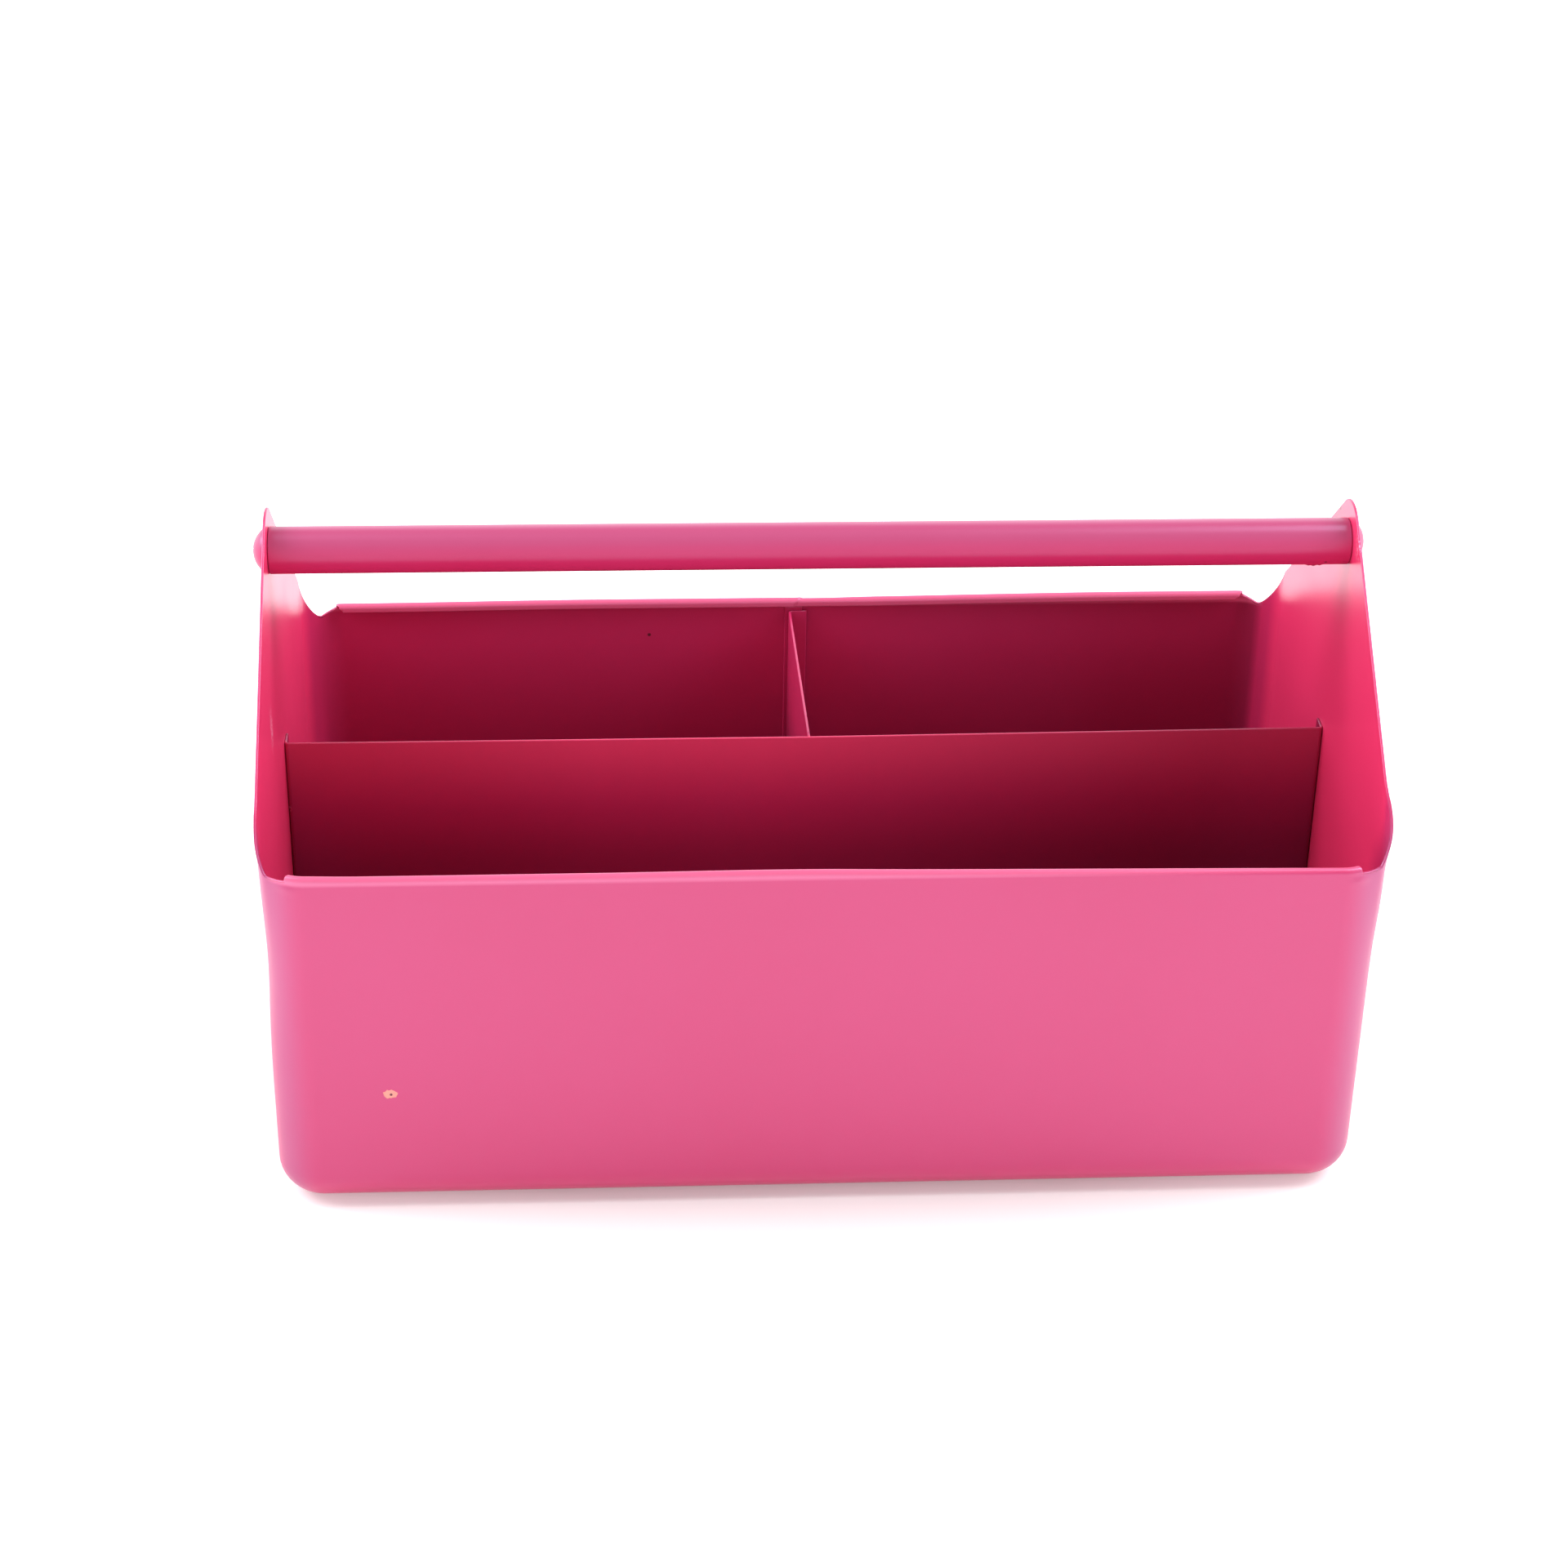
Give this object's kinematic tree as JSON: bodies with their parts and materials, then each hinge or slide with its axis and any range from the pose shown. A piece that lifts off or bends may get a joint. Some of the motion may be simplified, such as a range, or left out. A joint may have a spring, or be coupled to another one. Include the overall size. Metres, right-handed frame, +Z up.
{
  "type": "cleaning caddy",
  "caption": "Open sheet-steel carry caddy with house-shaped ends, a tube handle between their peaks, and dividers that split the tub into compartments.",
  "frame": {"origin": "centre of the footprint, on the resting face", "axes": "+X to the right along the length, +Y to the rear, +Z up; the front is the long wall at -Y"},
  "size_m": [0.377, 0.202, 0.2129],
  "materials": {
    "powder_coat": "semi-gloss powder coat",
    "zinc": "zinc plated"
  },
  "bodies": {
    "tub": {"tub_wall": "powder_coat", "floor_plate": "powder_coat", "long_divider": "powder_coat", "cross_divider": "powder_coat"},
    "handle": {"handle_tube": "powder_coat", "left_plug": "zinc", "right_plug": "zinc", "left_screw": "powder_coat", "right_screw": "powder_coat"}
  },
  "joints": [
    {"name": "handle_spin", "type": "hinge", "parent": "tub", "child": "handle", "pos_m": [0, 0, 0.1985], "axis": [1, 0, 0], "continuous": true}
  ]
}
